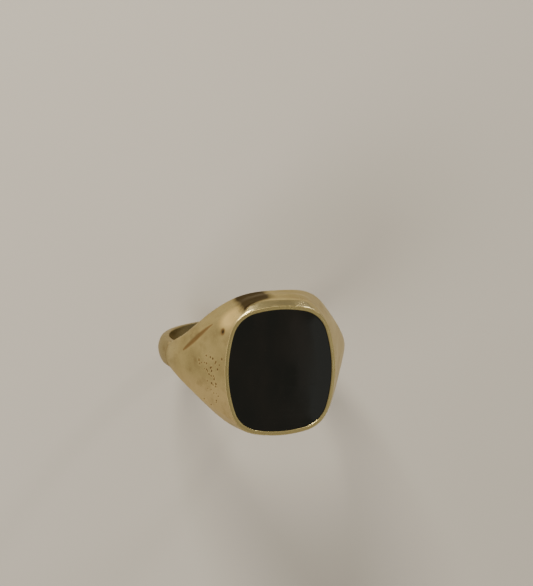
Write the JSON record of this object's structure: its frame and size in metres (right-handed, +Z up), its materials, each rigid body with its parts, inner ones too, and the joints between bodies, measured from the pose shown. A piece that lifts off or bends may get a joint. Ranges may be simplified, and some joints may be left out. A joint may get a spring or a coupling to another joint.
{
  "type": "signet ring",
  "caption": "Gold signet ring with a flat cushion onyx tablet set flush in a tapered head, broad shoulders and a half-round shank.",
  "frame": {"origin": "centre of the finger hole, level with the middle of the shank's width", "axes": "+Y along the finger hole, +X across the shoulders, +Z up through the middle of the face"},
  "size_m": [0.0224, 0.0166, 0.0251],
  "materials": {
    "gold": "worn satin polish, 9 carat yellow gold",
    "bezel_gold": "bright burnished, 9 carat yellow gold",
    "solder": "filed and polished hard solder",
    "onyx": "polished black onyx",
    "cement": "dark setting cement"
  },
  "bodies": {
    "root": {"head": "gold", "shank": "gold", "solder_seam_right": "solder", "solder_seam_left": "solder", "bezel": "bezel_gold", "onyx_tablet": "onyx", "setting_cement": "cement"}
  },
  "joints": []
}
